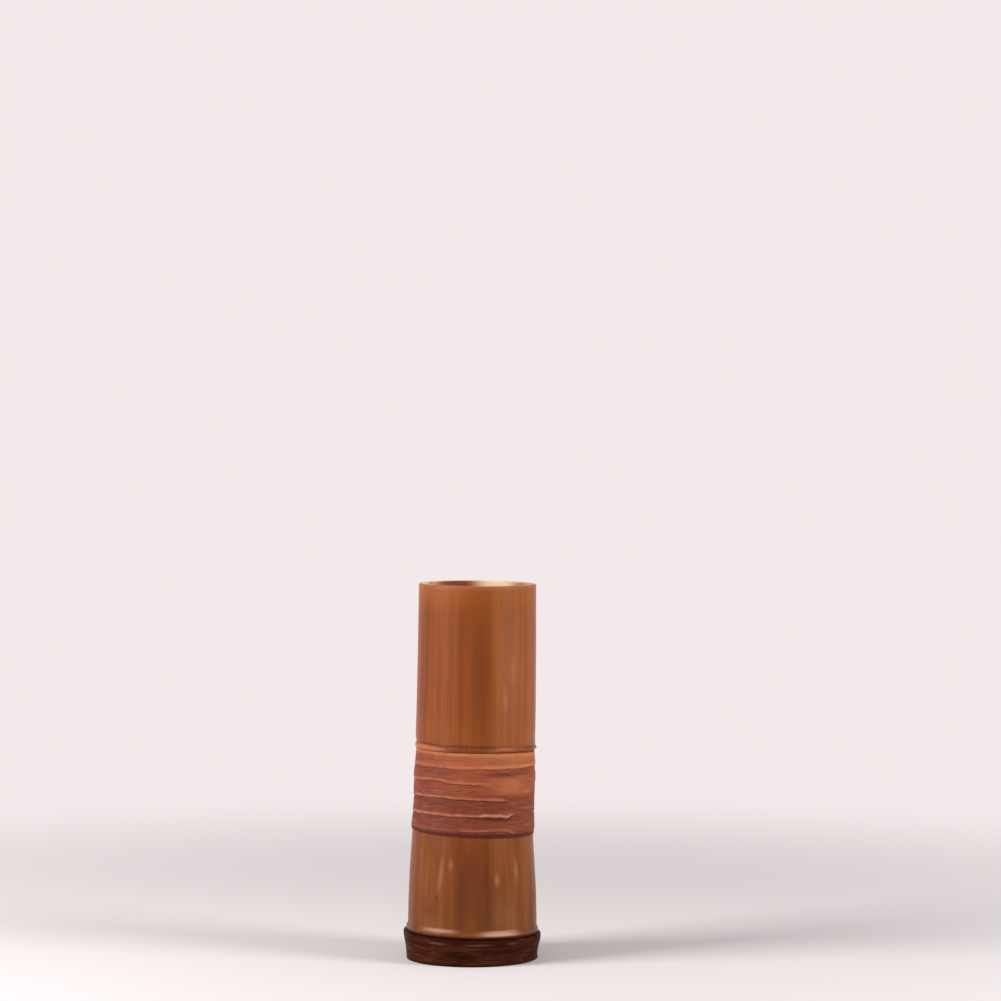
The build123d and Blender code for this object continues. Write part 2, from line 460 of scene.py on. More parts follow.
def bambooSkin():
    tones = skin["tones"]
    finish, tree, shader, patterns = newFinish("bambooSkin", skin["grains"], IOR=1.27)
    level = patterns["level"]
    streaks = mixed(tree, patterns["wide"], skin["wideShare"], patterns["narrow"])
    colour = ramp(tree, streaks, skin["stops"], tones)
    colour = tint(tree, colour, patterns, skin["overGrain"], tones)
    lower = between(tree, level, *skin["lowerShade"])
    lower = times(tree, lower, between(tree, level, *skin["lowerTop"], 1, 0))
    colour = blend(tree, lower, colour, tones["low"], "MULTIPLY")
    colour = nodeColour(tree, patterns, colour)
    colour = tint(tree, colour, patterns, skin["belowRim"], tones)
    colour = spots(tree, patterns, colour, skin)
    colour = tint(tree, colour, patterns, skin["rimWear"], tones)
    colour = lipWearAndHighlight(tree, patterns, colour)
    colourIn(tree, shader, tint(tree, colour, patterns, skin["shadeUnderLip"], tones))
    roughen(tree, shader, patterns["narrow"], *skin["rough"])
    bump(tree, shader, mixed(tree, patterns["fibre"], skin["reliefShare"], patterns["cloud"]),
         *skin["relief"])
    return finish


# sawn end of the culm's wall

sawnEnd = {
    "tones": {"shade": paint(205, 168, 128), "pale": paint(238, 212, 178), "pore": paint(142, 88, 52),
        "ring": paint(158, 92, 50), "front": paint(140, 76, 30), "right": paint(150, 98, 68)},
    "grains": {"cloud": (160, 160, 3.0, 0.55)},
    "stops": ((0.3, "shade"), (0.7, "pale")),
    "poresPerMetre": 1250.0,
    "poreScatter": 0.9,
    "poreSize": (0.16, 0.34),
    "poreAmount": 0.7,
    # stained parts, by millimetres from the axis, along Y and along X
    "stains": (("reach", 29.2, 30.8, 0, 0.85, "ring"), ("y", -22, -6, 0.95, 0, "front"),
               ("x", 19, 27, 0, 0.6, "right")),
    "relief": (0.4, 0.15),
}


def endGrain():
    tones = sawnEnd["tones"]
    finish, tree, shader, patterns = newFinish("bambooEndGrain", sawnEnd["grains"], Roughness=0.62,
                                               Specular_IOR_Level=0.25)
    coords = patterns["coords"]
    cells = add(tree, "ShaderNodeTexVoronoi", {"Vector": coords, "Scale": sawnEnd["poresPerMetre"],
                "Randomness": sawnEnd["poreScatter"]})
    pores = between(tree, cells.outputs["Distance"], *sawnEnd["poreSize"], 1, 0)
    colour = ramp(tree, patterns["cloud"], sawnEnd["stops"], tones)
    colour = blend(tree, times(tree, pores, sawnEnd["poreAmount"]), colour, tones["pore"])
    flat = add(tree, "ShaderNodeMapping", {"Vector": coords, "Scale": (1 / mm, 1 / mm, 0)}).outputs["Vector"]
    place = add(tree, "ShaderNodeSeparateXYZ", {"Vector": flat}).outputs
    patterns.update(reach=lengthOf(tree, flat), x=place["X"], y=place["Y"])
    colourIn(tree, shader, tint(tree, colour, patterns, sawnEnd["stains"], tones))
    bump(tree, shader, times(tree, pores, patterns["cloud"], "SUBTRACT"), *sawnEnd["relief"])
    return finish


# unlacquered wall inside

inside = {
    "tones": {"shade": paint(176, 128, 84), "middle": paint(214, 176, 128), "pale": paint(232, 204, 160),
        "run": paint(150, 84, 58), "backLeftShade": paint(124, 48, 30), "bareAndLit": paint(232, 204, 168),
        "deep": paint(96, 62, 38)},
    "grains": {"streak": (420, 9, 3.0, 0.6), "blot": (34, 26, 3.0, 0.6, 2.2)},
    "stops": ((0.32, "shade"), (0.52, "middle"), (0.7, "pale")),
    # stain that ran over the edge, and painted shade at the back left
    "runFrom": (178, 197),
    "runBlots": (0.36, 0.5, 0.1, 0.8),
    "spotRadius": 26.5,
    "spotSoftness": 0.1,
    # painted shade on the inner wall at the back left, and painted light at the back right
    "spots": ((116, 199, 25, 26, 0, 0.92, "backLeftShade"), (68, 199, 19, 24, 0, 0.9, "bareAndLit")),
    # painted shade, darker further down the bore
    "deepShade": (("level", 20, 150, 0.75, 0, "deep"),),
    "relief": (0.5, 0.25),
}


def innerWall():
    tones = inside["tones"]
    finish, tree, shader, patterns = newFinish("bambooInnerWall", inside["grains"], Roughness=0.6,
                                               Specular_IOR_Level=0.25)
    colour = ramp(tree, patterns["streak"], inside["stops"], tones)
    run = times(tree, between(tree, patterns["level"], *inside["runFrom"]),
                between(tree, patterns["blot"], *inside["runBlots"]))
    colour = blend(tree, run, colour, tones["run"])
    colour = spots(tree, patterns, colour, inside)
    colourIn(tree, shader, tint(tree, colour, patterns, inside["deepShade"], tones))
    bump(tree, shader, patterns["streak"], *inside["relief"])
    return finish


# dried bark

strip = {
    "tones": {"deep": paint(102, 44, 28), "red": paint(130, 61, 38), "brown": paint(152, 80, 46),
        "orange": paint(180, 104, 62), "torn": paint(192, 120, 90), "pale": paint(204, 134, 90),
        "crevice": paint(74, 27, 12), "purple": paint(104, 44, 42)},
    # ripples across and along per metre, detail, roughness, shift, twist
    "grains": {"fibre": (60, 2100, 3.0, 0.6, 0.0, 0.3), "thread": (150, 5200, 2.0, 0.55, 4.4),
               "patch": (90, 260, 3.0, 0.55, 8.8)},
    "patchSway": 0.55,
    "stops": ((0.05, "deep"), (0.35, "red"), (0.62, "brown"), (0.92, "orange")),
    "overGrain": (("fibre", 0.52, 0.68, 0, 0.55, "deep"), ("fibre", 0.46, 0.32, 0, 0.3, "orange"),
                  ("thread", 0.56, 0.7, 0, 0.35, "torn")),
    "palerTones": (0.2, 0.8),
    "tornThreads": (0.3, 0.6, 0.6, 1.0),
    "rough": (0.5, 0.68),
    "reliefShare": 0.7,
    "relief": (0.8, 0.3),
}


def barkStrip():
    tones = strip["tones"]
    finish, tree, shader, patterns = newFinish("barkStrip", strip["grains"], IOR=1.25)
    sway = times(tree, times(tree, patterns["patch"], 0.5, "SUBTRACT"), strip["patchSway"])
    tone = times(tree, attribute(tree, "barkTone"), sway, "ADD")
    colour = ramp(tree, tone, strip["stops"], tones)
    colour = tint(tree, colour, patterns, strip["overGrain"], tones)
    # stains, one of them painted shadow beneath a lip
    colour = blend(tree, attribute(tree, "stainAndShade"), colour, tones["purple"])
    colour = blend(tree, attribute(tree, "tuckedShade"), colour, tones["crevice"])
    # the torn lip, partly painted highlight, is palest on the brightest turns
    paler = blend(tree, between(tree, tone, *strip["palerTones"]), tones["torn"], tones["pale"])
    threads = between(tree, patterns["thread"], *strip["tornThreads"])
    colourIn(tree, shader, blend(tree, times(tree, attribute(tree, "tornEdgeAndHighlight"), threads), colour, paler))
    roughen(tree, shader, patterns["thread"], *strip["rough"])
    bump(tree, shader, mixed(tree, patterns["fibre"], strip["reliefShare"], patterns["thread"]),
         *strip["relief"])
    return finish


# dark stained wood of the foot

stain = {
    "tones": {"dark": paint(40, 13, 5), "middle": paint(58, 23, 11), "light": paint(80, 37, 19),
        "red": paint(72, 26, 14), "bareAndLit": paint(118, 86, 76), "ring": paint(104, 66, 50),
        "darkenedAndShade": paint(26, 9, 5)},
    "grains": {"wood": (70, 420, 4.0, 0.62, 0.0, 0.6), "turned": (9, 2600, 2.0, 0.5, 3.3),
               "cloud": (55, 55, 3.0, 0.6, 6.1)},
    "stops": ((0.34, "dark"), (0.52, "middle"), (0.68, "light")),
    "overGrain": (("cloud", 0.5, 0.7, 0, 0.45, "red"),),
    # painted highlight along the flange's roll, and paler on the ring at the bottom
    "spotRadius": 36.8,
    "spotSoftness": 0.2,
    "spots": (
        (-120, 11.9, 8.5, 0.85, 0, 0.42, "bareAndLit"),
        (-84, 11.9, 11.5, 0.85, 0, 0.4, "bareAndLit"),
        (-54, 12.2, 3.5, 0.85, 0, 0.3, "bareAndLit"),
        (-43, 14.0, 4.0, 0.85, 0, 0.35, "bareAndLit"),
        (12, 12.1, 9.0, 0.85, 0, 0.35, "bareAndLit"),
        (75, 12.0, 12.0, 0.85, 0, 0.35, "bareAndLit"),
        (140, 12.1, 8.0, 0.85, 0, 0.35, "bareAndLit"),
    ),
    "ringBand": (2.0, 2.6, 2.8, 3.6),
    "ringCloud": (0.45, 0.6, 0, 0.4),
    # darker at the bottom edge, and painted shade in the corner under the culm
    "darkenedAndShade": (("level", 0, 1.6, 0.6, 0, "darkenedAndShade"), ("level", 13.4, 14.2, 0, 0.75, "darkenedAndShade")),
    "rough": (0.42, 0.56),
    "reliefShare": 0.6,
    "relief": (0.35, 0.15),
}


def darkStain():
    tones = stain["tones"]
    finish, tree, shader, patterns = newFinish("darkStainedWood", stain["grains"], IOR=1.1)
    level = patterns["level"]
    colour = ramp(tree, patterns["wood"], stain["stops"], tones)
    colour = tint(tree, colour, patterns, stain["overGrain"], tones)
    colour = spots(tree, patterns, colour, stain)
    ring = times(tree, band(tree, stain["ringBand"], level, level),
                 between(tree, patterns["cloud"], *stain["ringCloud"]))
    colour = blend(tree, ring, colour, tones["ring"])
    colourIn(tree, shader, tint(tree, colour, patterns, stain["darkenedAndShade"], tones))
    roughen(tree, shader, patterns["cloud"], *stain["rough"])
    bump(tree, shader, mixed(tree, patterns["turned"], stain["reliefShare"], patterns["wood"]),
         *stain["relief"])
    return finish


# the culm: one turned and bored length of bamboo

culm = {
    "segments": 320,
    "wallStep": 2.6,
    # outside from the socket to the rim, then down the inside: radius, level, rounding
    "socket": ((0, 20.15, 0), (23.15, 20.15, 0.3), (23.15, 14.5, 0.3)),
    "seat": (34.45, 14.5, 0.2),
    "foreWall": ((34.5, 17.9, 0), (34.42, 24, 0), (34.2, 34, 0), (33.8, 43.2, 0), (33.2, 54, 0),
                 (32.3, 68.35, 0)),
    "recess": ((31.45, 68.35, 0), (30.35, 113.35, 0)),
    "shoulder": (31.95, 113.35, 0.2),
    "upperWall": ((31.98, 122, 0), (31.33, 200.0, 0.75)),
    "boreTop": (26.3, 200.0, 0.6),
    "upperFloor": ((26.55, 116.8, 3.5), (21.0, 116.8, 0.6)),
    "lowerRoof": ((21.0, 112.8, 0.6), (26.55, 112.8, 3.5)),
    "chamberFloor": ((27.3, 25.15, 8.0), (0, 25.15, 0)),
    # swollen lip above the foot: least and greatest radius, levels, steps, fullness
    "lipRadii": (34.5, 35.35),
    "lipLevels": (14.5, 17.9),
    "lipSteps": 10,
    "lipFullness": 0.8,
    # fine rows over the node, moulded afterwards
    "rows": 18,
    "rowsFrom": 113.5,
    "rowStep": 0.33,
    # parts of the wall: least and greatest radius, lowest and highest level
    "zones": {
        "node": (30.9, 99, 113.3, 210),
        "wrapEdge": (31, 99, 54, 80),
        "lowerWall": (32.2, 99, 19, 68.2),
        "lip": (34.3, 99, 0, 19),
        "bore": (-1, 27.4, 24, 210),
        "mouth": (-1, 99, 194, 210),
        "sawnTop": (26.6, 30.7, 199.5, 210),
        "inside": (-1, 27.5, 21, 210),
        "underside": (-1, 34.4, 0, 20.6),
    },
    # the node's line dips at the bud and at the right, and rises at the left: azimuth, width, height
    "nodeLevel": 114.5,
    "nodeWaves": ((-122, 10, -0.65), (-104, 34, 0.2), (-46, 16, -0.25), (-6, 38, -1.4), (-147, 14, 0.75)),
    "nodeWander": ((0.35, 1.6, 0, 4.0),),
    # ridge along that line, higher and broader at the right, with a fainter one above it there
    "swollen": ((-4, 50, 1.0),),
    "ridgeHeight": (0.2, 0.7),
    "ridgeWidth": (0.9, 0.4),
    "secondRidge": {"height": 0.12, "above": 3.0, "width": 1.0},
    # crease above the ridge, shallower where the table says, and a hollow above it at the left
    "creaseDepth": 0.36,
    "creaseChanges": ((-130, 34, -0.2), (-48, 24, -0.22)),
    "creaseAbove": 1.7,
    "creaseWidth": 0.42,
    "hollow": ((180, 32, 0.36),),
    "hollowAbove": 2.5,
    "hollowWidth": 1.2,
    "bud": {"azimuth": -119.0, "level": 115.6, "height": 0.26, "across": 0.55, "along": 1.1, "spread": 1.6},
    # grown irregularity: amount, ripples across, ripples along, seed
    "upperWander": ((0.16, 1.1, 0.012, 9.0), (0.07, 5.0, 0.02, 2.0)),
    "upperFades": (118, 128, 192, 198),
    "lowerWander": ((0.18, 1.3, 0.02, 5.0), (0.08, 6.0, 0.03, 8.0)),
    "lowerFades": (19, 24, 62, 68),
    "lipWander": ((0.08, 3.0, 0.1, 3.0),),
    "boreWander": ((0.22, 2.2, 0.03, 7.0),),
    # how the slanting edge beneath the wrap fades out, down and up
    "wrapEdgeFades": (54, 68, 68.6, 80),
    # the mouth is sawn level, raised, and then slopes away from its highest side
    "mouthFrom": (194, 199.3),
    "mouthRaise": 1.255,
    "mouthSlope": 0.0154,
    "mouthHighest": -137,
    "mouthWander": ((0.03, 1.2, 0, 6.0),),
}


def culmCorners():
    corners = [*culm["socket"], culm["seat"]]
    inner, outer = culm["lipRadii"]
    low, high = culm["lipLevels"]
    for step in range(1, culm["lipSteps"]):
        turn = math.pi * step / culm["lipSteps"]
        corners.append((inner + (outer - inner) * math.sin(turn) ** culm["lipFullness"],
                        (low + high) / 2 - (high - low) / 2 * math.cos(turn), 0))
    corners += [*culm["foreWall"], *culm["recess"], culm["shoulder"]]
    for row in range(1, culm["rows"] + 1):
        corners.append((culm["shoulder"][0], culm["rowsFrom"] + culm["rowStep"] * row, 0))
    corners += [*culm["upperWall"], culm["boreTop"]]
    return corners + [*culm["upperFloor"], *culm["lowerRoof"], *culm["chamberFloor"]]


def within(zone, radius, level):
    least, most, low, high = culm["zones"][zone]
    return least < radius < most and low < level < high


def nodeWave(azimuth):
    # how far the sheath scar lies above or below the node's level
    return swell(culm["nodeWaves"], azimuth) + wander(culm["nodeWander"], azimuth)


def nodeRelief(azimuth, level):
    # ridge of the node, the crease above it and the bud
    away = level - culm["nodeLevel"] - nodeWave(azimuth)
    right = swell(culm["swollen"], azimuth)
    height, moreHeight = culm["ridgeHeight"]
    width, moreWidth = culm["ridgeWidth"]
    relief = (height + moreHeight * right) * hump(away, width + moreWidth * right)
    depth = culm["creaseDepth"] + swell(culm["creaseChanges"], azimuth)
    relief -= depth * hump(away - culm["creaseAbove"], culm["creaseWidth"])
    second = culm["secondRidge"]
    relief += second["height"] * right * hump(away - second["above"], second["width"])
    relief -= swell(culm["hollow"], azimuth) * hump(away - culm["hollowAbove"], culm["hollowWidth"])
    bud = culm["bud"]
    fromBud = ((azimuth - bud["azimuth"]) * bud["across"]) ** 2 + ((level - bud["level"]) * bud["along"]) ** 2
    return relief + bud["height"] * math.exp(-fromBud / bud["spread"])


def culmChange(radius, azimuth, level):
    # how far out and how far up a place on the turned shape is moved
    out, lift = 0, 0
    if within("node", radius, level):
        out += nodeRelief(azimuth, level)
        out += fading(culm["upperFades"], level) * wander(culm["upperWander"], azimuth, level)
    if within("lowerWall", radius, level):
        out += fading(culm["lowerFades"], level) * wander(culm["lowerWander"], azimuth, level)
    if within("lip", radius, level):
        out += wander(culm["lipWander"], azimuth, level)
    if within("bore", radius, level):
        out += wander(culm["boreWander"], azimuth, level)
    if within("wrapEdge", radius, level):
        lift = wrapEdge(azimuth) * fading(culm["wrapEdgeFades"], level)
    if within("mouth", radius, level):
        sawn = culm["mouthRaise"] + radius * math.sin(vase["lean"]) * math.cos(math.radians(azimuth))
        away = math.radians(azimuth - culm["mouthHighest"])
        sawn -= culm["mouthSlope"] * radius * (1 - math.cos(away))
        lift = smooth(*culm["mouthFrom"], level) * (sawn + wander(culm["mouthWander"], azimuth))
    return out, lift


def buildCulm():
    bm = latheProfile(culmCorners(), culm["wallStep"])
    turnRound(bm, culm["segments"])
    wave = bm.verts.layers.float.new("nodeWave")
    for vert in bm.verts:
        level = vert.co.z / mm
        radius = math.hypot(vert.co.x, vert.co.y) / mm
        if radius < 1:
            continue  # the poles stay
        azimuth = math.degrees(math.atan2(vert.co.y, vert.co.x))
        vert[wave] = nodeWave(azimuth)
        out, lift = culmChange(radius, azimuth, level)
        vert.co.x *= (radius + out) / radius
        vert.co.y *= (radius + out) / radius
        vert.co.z += lift * mm
    for face in bm.faces:
        centre = face.calc_center_median()
        radius = math.hypot(centre.x, centre.y) / mm
        level = centre.z / mm
        if within("sawnTop", radius, level) and face.normal.z > 0.5:
            face.material_index = 1
        elif within("inside", radius, level):
            face.material_index = 2
        elif within("underside", radius, level):
            face.material_index = 1
    tiltOver(bm)
    leanOver(bm)
    return finishPiece("bambooCulm", bm, [bambooSkin(), endGrain(), innerWall()], "culm")


# the bark strip, wound in lapped turns from the top down

bark = {
    "bottom": 68.5,
    "top": 113.2,
    "topDips": ((-10, 30, -1.2),),
    # each turn's lower edge, the strength of its torn lip, partly painted highlight, and the shade beneath
    # it, from the top down
    "turns": (
        {"edge": ((-88, 104.0),),
         "lip": ((-88, 0.45), (-70, 0.72), (170, 0.7), (215, 0.45), (240, 0.5), (260, 0.3), (272, 0.45)),
         "shade": 0.45},
        {"edge": ((-88, 104.0), (-5, 95.4), (180, 96.0), (203, 96.4), (234, 97.1), (250, 96.3),
                  (272, 95.8)), "lip": ((-88, 0.1), (-5, 0.15), (40, 0.5), (180, 0.75), (272, 0.7)),
         "shade": 0.3},
        {"edge": ((-84, 95.8), (-52, 87.5), (-30, 86.9), (180, 87.1), (203, 87.8), (225, 88.2),
                  (272, 87.8)),
         "lip": ((-88, 0.55), (-79, 0.05), (-40, 0.02), (0, 0.1), (40, 0.4), (180, 0.85), (272, 0.9)),
         "shade": 0.5},
        {"edge": ((-86, 87.8), (-60, 87.1), (-46, 82.6), (-22, 81.6), (20, 78.2), (180, 78.4),
                  (203, 78.8), (225, 79.2), (248, 78.9), (272, 78.9)),
         "lip": ((-88, 0.9), (-62, 1.0), (-56, 0.1), (-40, 0.35), (-15, 0.3), (40, 0.5), (180, 0.85),
                 (272, 0.9)), "shade": 0.35},
        {"edge": ((-88, 78.9), (-76, 79.2), (-66, 78.9), (-57, 78.1), (-50, 79.4), (-8, 70.4),
                  (200, 71.0)),
         "lip": ((-88, 1.0), (-74, 1.9), (-54, 1.8), (-48, 0.05), (20, 0.2), (180, 0.1), (250, 0.15),
                 (272, 0.5)), "shade": 0.9},
        {"edge": ((-60, 71.0), (-20, 61.3)), "lip": ((-88, 0.6), (-52, 0.5), (-44, 0)), "shade": 0.9},
        {"edge": ((-88, 61.3),), "lip": ((-88, 0),), "shade": 0.9},
    ),
    # height of a lip's palest line, and breadth of its dark underside: the first turn's, the others'
    "crests": (1.6, 1.05),
    "rolled": (1.015, 0.3),
    # single stains, the first of them painted shadow beneath the lip above it, and bare patches: azimuth,
    # level, half width in degrees, half height, amount
    "stains": ((-61, 101.6, 24, 1.2, 0.95), (-98, 110.3, 19, 1.5, 0.35), (70, 88, 14, 1.4, 0.5)),
    "barePatches": ((-30, 92.0, 7, 1.0, 0.4), (-27, 74.0, 7, 0.8, 0.3), (130, 98, 9, 1.0, 0.35)),
    # where the winding starts, and its degrees of travel from there
    "startAzimuth": -88.0,
    "travel": (-1.0, 2219.0),
    "step": 1.0,
    "divide": 12,
    "acrossShares": (0, 0.012, 0.03, 0.055, 0.085, 0.12, 0.16, 0.205, 0.26, 0.32, 0.385, 0.45, 0.52,
                     0.59, 0.66, 0.73, 0.80, 0.86, 0.91, 0.95, 0.98, 1.0),
    # inner side, radius and level at the bottom and at the top, and its gap to the recess
    "innerSide": ((31.45, 68.35), (30.35, 112.15)),
    "gap": 0.15,
    # radial thickness of the band by level
    "body": ((68.5, 1.0), (70.7, 1.45), (76, 1.3), (81.4, 1.12), (86.8, 1.2), (92, 1.45), (97, 1.65),
             (100, 1.75), (103, 1.6), (105.5, 1.35), (108, 1.2), (112, 1.15)),
    "leastThickness": 0.25,
    # drawn less tight near the top at the right
    "slack": ((0, 50, 0.3),),
    "slackFrom": (102, 107),
    # a turn runs on beneath the one above, and is never narrower than this
    "overlap": 0.45,
    "leastWidth": 0.12,
    # lower lip: bulge and curl, each at its least and what the lip's strength adds
    "bulge": (0.02, 0.13),
    "bulgeAbove": 0.95,
    "bulgeWidth": 0.85,
    "curl": (0.04, 0.51),
    "curlWidth": 0.3,
    # slow fall towards the upper edge, tuck beneath the turn above, and the hidden edge there
    "fall": 0.12,
    "fallFrom": (2.5, 8.0),
    "tuck": (0.01, 0.27),
    "tuckFrom": (1.6, 0.15),
    "hidden": 0.35,
    "hiddenFrom": (0.02, -0.3),
    # the trimmed top edge is eased, and the strip's start lies on the end of its own turn
    "topEase": 0.45,
    "topEaseFrom": (0.45, 0.0),
    "startStep": 0.04,
    "startStepFrom": (354, 358),
    # amount, ripples across, ripples along, seed; the coarse fibre's seed is each turn's
    "ledgeWander": ((0.3, 2.4, 3.7, 1.0), (0.2, 8.0, 5.3, 2.0), (0.08, 26.0, 2.9, 3.0)),
    "topWander": ((0.08, 5.0, 0, 12.0),),
    "bottomWander": ((0.1, 6.0, 0, 15.0),),
    "coarseFibre": (0.075, 3.2, 1.4),
    "seedStep": 4.1,
    "fineFibre": (0.045, 6.0, 3.6, 9.0),
    "lumps": (0.10, 3.0, 0.25, 21.0),
    "fibreFrom": (0.1, 0.6),
    # pale torn lip, and pale top edge, both partly painted highlight
    "paleWidth": 0.75,
    "paleMean": 0.66,
    "paleWander": ((0.5, 9.0, 2.3, 31.0),),
    "topPale": {"amount": 0.6, "below": 1.3, "width": 0.7},
    # dark beneath a ledge, on the lip's underside, along the top and along the bottom
    "shadeFrom": (2.7, 0.1),
    "shadeLeast": 0.05,
    "shadeMean": 0.85,
    "shadeWander": ((0.4, 5.0, 4.9, 17.0),),
    "rolledShade": 0.7,
    "topShade": 0.3,
    "topShadeFrom": (0.4, 0.0),
    "bottomShade": 0.88,
    "bottomShadeFrom": (2.4, 1.7),
    "darkest": 0.95,
    # tone by level, 0 the deepest red brown and 1 orange
    "tones": ((68.5, 0.14), (76, 0.16), (80, 0.1), (84, 0.13), (88, 0.2), (92, 0.42), (97, 0.5),
              (101, 0.45), (103.7, 0.5), (104.7, 0.84), (107.5, 0.72), (110.5, 0.8), (112, 0.98)),
    # a stretch at the front right is as orange as the first turn
    "warm": {"azimuth": -52, "width": 26, "amount": 0.3, "levels": (88, 92, 99.5, 101.5)},
    # the lowest turns are a shade lighter at the front right
    "lighter": ((-38, 36, 0.1),),
    "lighterFrom": (85, 88),
    # darker at the left side, most of all at the top
    "leftDarker": ((205, 45, 1.0),),
    "leftDarkerAmounts": (0.26, 0.24),
    "leftDarkerFrom": (100, 105),
}


def innerRadius(level):
    (bottomRadius, bottom), (topRadius, top) = bark["innerSide"]
    return bottomRadius + (topRadius - bottomRadius) * (level - bottom) / (top - bottom) + bark["gap"]


def stripPlace(travel):
    # azimuth from the start to one turn on, and the turn counted from the top
    turn = max(math.floor(travel / 360), 0)
    return bark["startAzimuth"] + travel - 360 * turn, turn


def ledgeAt(travel):
    azimuth, turn = stripPlace(travel)
    return follow(bark["turns"][turn]["edge"], azimuth) + wander(bark["ledgeWander"], azimuth, turn)


def topAt(azimuth):
    return bark["top"] + swell(bark["topDips"], azimuth) + wander(bark["topWander"], azimuth)


def lipStrength(travel):
    azimuth, turn = stripPlace(travel)
    return follow(bark["turns"][turn]["lip"], azimuth)


def spotOn(travel, share):
    # one place on the strip, its distances from the edges and the strength of the lips
    azimuth, turn = stripPlace(travel)
    bottom = bark["bottom"] + wrapEdge(azimuth)
    lower = max(ledgeAt(travel), bottom + wander(bark["bottomWander"], azimuth))
    ledge = ledgeAt(travel - 360) if turn >= 1 else topAt(azimuth)
    upper = min(topAt(azimuth), ledge + bark["overlap"])
    upper = max(upper, lower + bark["leastWidth"])
    level = lower + (upper - lower) * min(max(share, 0), 1)
    return {
        "travel": travel,
        "azimuth": azimuth,
        "turn": turn,
        "level": level,
        "aboveLower": level - lower,
        "belowUpper": upper - level,
        "belowLedge": ledge - level,
        "aboveBottom": level - bottom,
        "strength": lipStrength(travel),
        "strengthAbove": lipStrength(travel - 360),
    }


def thickness(spot):
    azimuth, level, below = spot["azimuth"], spot["level"], spot["aboveLower"]
    body = follow(bark["body"], level) + swell(bark["slack"], azimuth) * smooth(*bark["slackFrom"], level)
    least, more = bark["bulge"]
    lip = (least + more * spot["strength"]) * hump(below - bark["bulgeAbove"], bark["bulgeWidth"])
    least, more = bark["curl"]
    curl = 1 - (least + more * min(spot["strength"], 1)) * hump(below, bark["curlWidth"])
    thick = (body + lip - bark["fall"] * smooth(*bark["fallFrom"], below)) * curl
    if spot["turn"] >= 1:
        least, more = bark["tuck"]
        tuck = least + more * min(spot["strengthAbove"], 1)
        thick -= tuck * smooth(*bark["tuckFrom"], spot["belowLedge"])
        thick -= bark["hidden"] * smooth(*bark["hiddenFrom"], spot["belowLedge"])
    else:
        thick *= 1 - bark["topEase"] * smooth(*bark["topEaseFrom"], spot["belowUpper"])
        thick -= bark["startStep"] * smooth(*bark["startStepFrom"], spot["travel"])
    coarse = (*bark["coarseFibre"], spot["turn"] * bark["seedStep"])
    fibre = wander((coarse, bark["fineFibre"], bark["lumps"]), azimuth, level)
    return max(thick + fibre * smooth(*bark["fibreFrom"], below), bark["leastThickness"])


def toneAt(spot):
    azimuth, level = spot["azimuth"], spot["level"]
    warm = bark["warm"]
    tone = follow(bark["tones"], level)
    tone += warm["amount"] * hump(azimuth - warm["azimuth"], warm["width"]) * fading(warm["levels"], level)
    tone += swell(bark["lighter"], azimuth) * (1 - smooth(*bark["lighterFrom"], level))
    everywhere, atTop = bark["leftDarkerAmounts"]
    leftDarker = everywhere + atTop * smooth(*bark["leftDarkerFrom"], level)
    return min(tone, 1) - leftDarker * swell(bark["leftDarker"], azimuth)


def patchAt(spot, table):
    # the strongest of the single patches at this place
    return max(amount * hump(apart(spot["azimuth"], azimuth), halfWidth)
               * hump(spot["level"] - level, halfHeight)
               for azimuth, level, halfWidth, halfHeight, amount in table)


def tornAndHighlightAt(spot):
    turn = spot["turn"]
    crest = bark["crests"][min(turn, 1)]
    pale = hump(spot["aboveLower"] - crest, bark["paleWidth"]) * spot["strength"]
    if turn == 0:
        top = bark["topPale"]
        pale += top["amount"] * hump(spot["belowUpper"] - top["below"], top["width"])
    pale *= bark["paleMean"] + wander(bark["paleWander"], spot["azimuth"], turn)
    return max(min(max(pale, 0), 1), patchAt(spot, bark["barePatches"]))


def shadeAt(spot):
    turn = spot["turn"]
    if turn >= 1:
        least = bark["shadeLeast"]
        shade = smooth(*bark["shadeFrom"], spot["belowLedge"]) * bark["turns"][turn - 1]["shade"]
        shade *= least + (1 - least) * spot["strengthAbove"]
    else:
        shade = bark["topShade"] * smooth(*bark["topShadeFrom"], spot["belowUpper"])
    shade *= bark["shadeMean"] + wander(bark["shadeWander"], spot["azimuth"], turn)
    rolled = smooth(bark["rolled"][min(turn, 1)], 0.0, spot["aboveLower"])
    shade = max(shade, bark["rolledShade"] * spot["strength"] * rolled,
                bark["bottomShade"] * smooth(*bark["bottomShadeFrom"], spot["aboveBottom"]))
    return min(max(shade, 0), bark["darkest"])


def stripWire(bm):
    # upright wire of one cross-section; each vertex carries its share and its first height
    across = bm.verts.layers.float.new("across")
    low = bm.verts.layers.float.new("low")
    ring = []
    for share in (-1, *bark["acrossShares"], 2):
        vert = bm.verts.new((0.03 if 0 <= share <= 1 else 0.02, 0, (share + 1) * 0.1))
        vert[across] = share
        vert[low] = vert.co.z
        ring.append(vert)
    for first, second in zip(ring, ring[1:] + ring[:1]):
        bm.edges.new((first, second))
    return across, low


